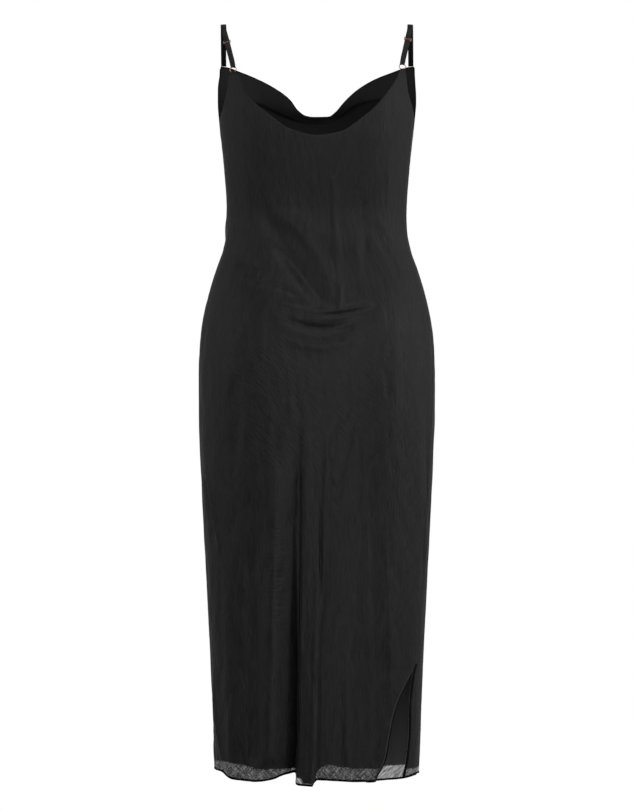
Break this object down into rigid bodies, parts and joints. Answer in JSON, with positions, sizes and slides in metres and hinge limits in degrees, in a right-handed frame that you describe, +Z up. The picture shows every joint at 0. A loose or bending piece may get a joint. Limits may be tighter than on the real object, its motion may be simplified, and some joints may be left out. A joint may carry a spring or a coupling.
{
  "type": "slip dress",
  "caption": "Black midi slip dress with a cowl front, scoop back, adjustable straps and a side slit.",
  "frame": {"origin": "midway between the tops of the two shoulder straps, where the wearer's shoulders hold the dress up", "axes": "+Z up, -Y towards the back of the dress, +Y towards its cowl front, -X the wearer's left"},
  "size_m": [0.4057, 0.3127, 1.3205],
  "materials": {
    "satin": "crinkled semi-sheer black satin with a soft sheen",
    "lining": "smooth matte black lining",
    "strap": "black satin strap",
    "rose_gold": "polished rose-gold plate"
  },
  "bodies": {
    "root": {"back_panel": "satin", "front_panel": "satin", "back_lining": "lining", "front_lining": "lining", "strap_left": "strap", "strap_right": "strap", "loop_left": "satin", "loop_right": "satin", "ring_left": "rose_gold", "ring_right": "rose_gold", "slider_left": "rose_gold", "slider_right": "rose_gold"}
  },
  "joints": []
}
